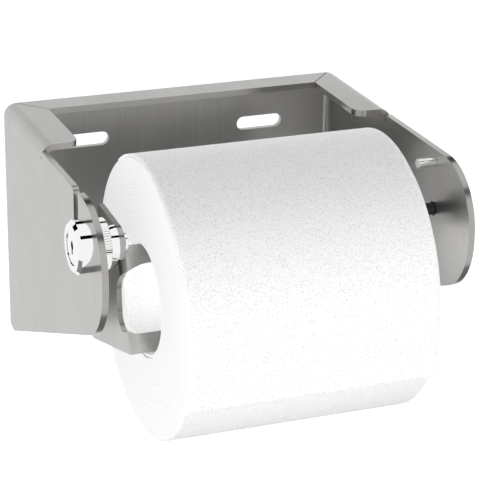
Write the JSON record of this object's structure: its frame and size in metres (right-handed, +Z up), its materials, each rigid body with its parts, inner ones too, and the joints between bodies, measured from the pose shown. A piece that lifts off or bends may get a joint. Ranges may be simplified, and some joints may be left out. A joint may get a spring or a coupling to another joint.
{
  "type": "toilet roll holder",
  "caption": "Wall-mounted toilet roll holder of bent brushed steel, with a cam lock, a drop-in carrier and a roll of paper with a hanging sheet.",
  "frame": {"origin": "on the wall face of the back plate, halfway across it and 50 mm below the top of the rim", "axes": "+X right along the roll's axis as seen from the front, +Y into the wall, +Z up"},
  "size_m": [0.1549, 0.1577, 0.1106],
  "materials": {
    "brushed_steel": "fine vertical brushing",
    "bright_steel": "turned and smooth",
    "chrome": "polished",
    "brass": "satin",
    "cardboard": "white, matt",
    "paper": "white, finely embossed"
  },
  "bodies": {
    "holder": {"bracket": "brushed_steel", "stop_pin": "bright_steel", "carrier": "brushed_steel", "hook": "bright_steel", "pivot_pin": "bright_steel", "lock_housing": "chrome", "lock_nut": "chrome"},
    "lock": {"lock_plug": "chrome", "wafer_1": "brass", "wafer_2": "brass", "wafer_3": "brass", "wafer_4": "brass", "wafer_5": "brass", "lock_cam": "brushed_steel", "cam_washer": "bright_steel", "cam_nut": "chrome"},
    "roll": {"core_tube": "cardboard", "paper_roll": "paper"},
    "sheet": {"paper_tail": "paper"}
  },
  "joints": [
    {"name": "lock_turn", "type": "hinge", "parent": "holder", "child": "lock", "pos_m": [-0.0743, -0.1228, 0.0314], "axis": [1, 0, 0], "range_deg": [0, 90]},
    {"name": "roll_spin", "type": "hinge", "parent": "holder", "child": "roll", "pos_m": [0.0029, -0.102, -0.00154], "axis": [1, 0, 0], "continuous": true},
    {"name": "sheet_pay_out", "type": "hinge", "parent": "roll", "child": "sheet", "pos_m": [0.0029, -0.102, -0.00154], "axis": [1, 0, 0], "continuous": true}
  ],
  "couplings": [
    {"joint": "sheet_pay_out", "follows": "roll_spin", "ratio": -1}
  ]
}
